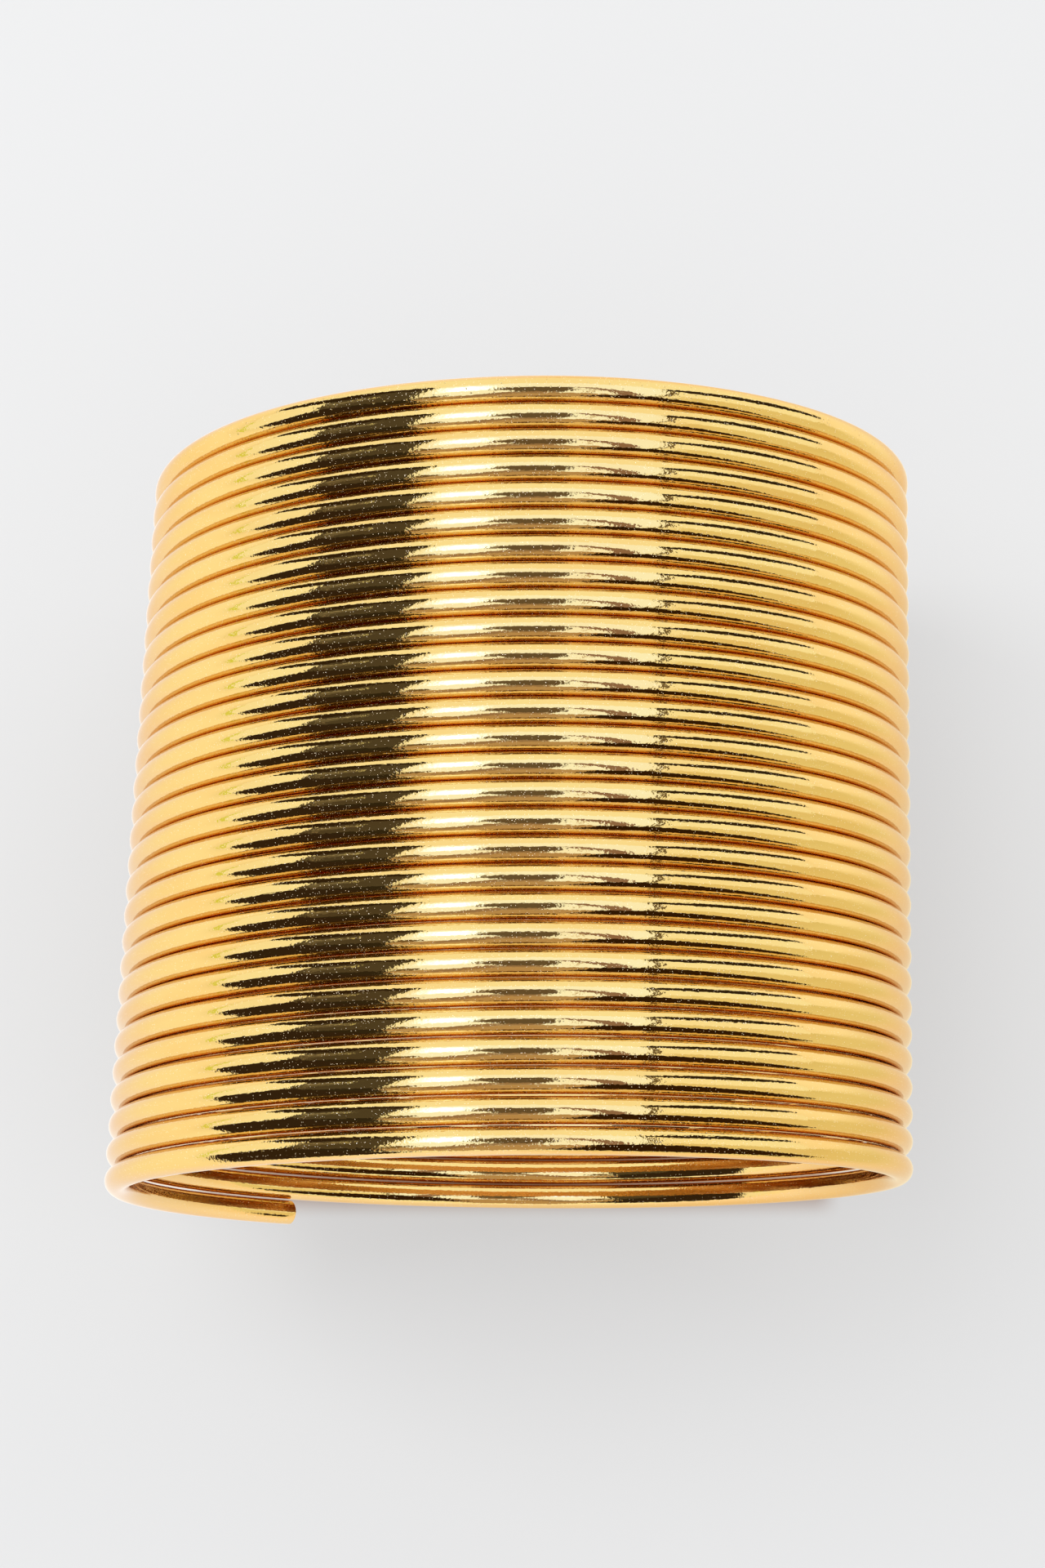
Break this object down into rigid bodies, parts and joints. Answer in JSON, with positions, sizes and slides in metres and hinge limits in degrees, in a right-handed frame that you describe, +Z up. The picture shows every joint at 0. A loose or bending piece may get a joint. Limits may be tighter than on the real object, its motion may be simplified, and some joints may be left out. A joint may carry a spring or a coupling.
{
  "type": "coil bangle bracelet",
  "caption": "Wide coil bangle of one round polished gold-tone wire, close-wound in a single helix with square-cut ends, lying on its side.",
  "frame": {"origin": "centre of the bounding box's bottom face: the table under the middle of the coil", "axes": "+Z up; the coil's axis runs along Y, with the near end and its visible wire end at -Y; the wider diameter lies along X"},
  "size_m": [0.069, 0.064, 0.0666],
  "materials": {
    "gold_wire": "polished gold-tone plate"
  },
  "bodies": {
    "root": {"wire_coil": "gold_wire"}
  },
  "joints": []
}
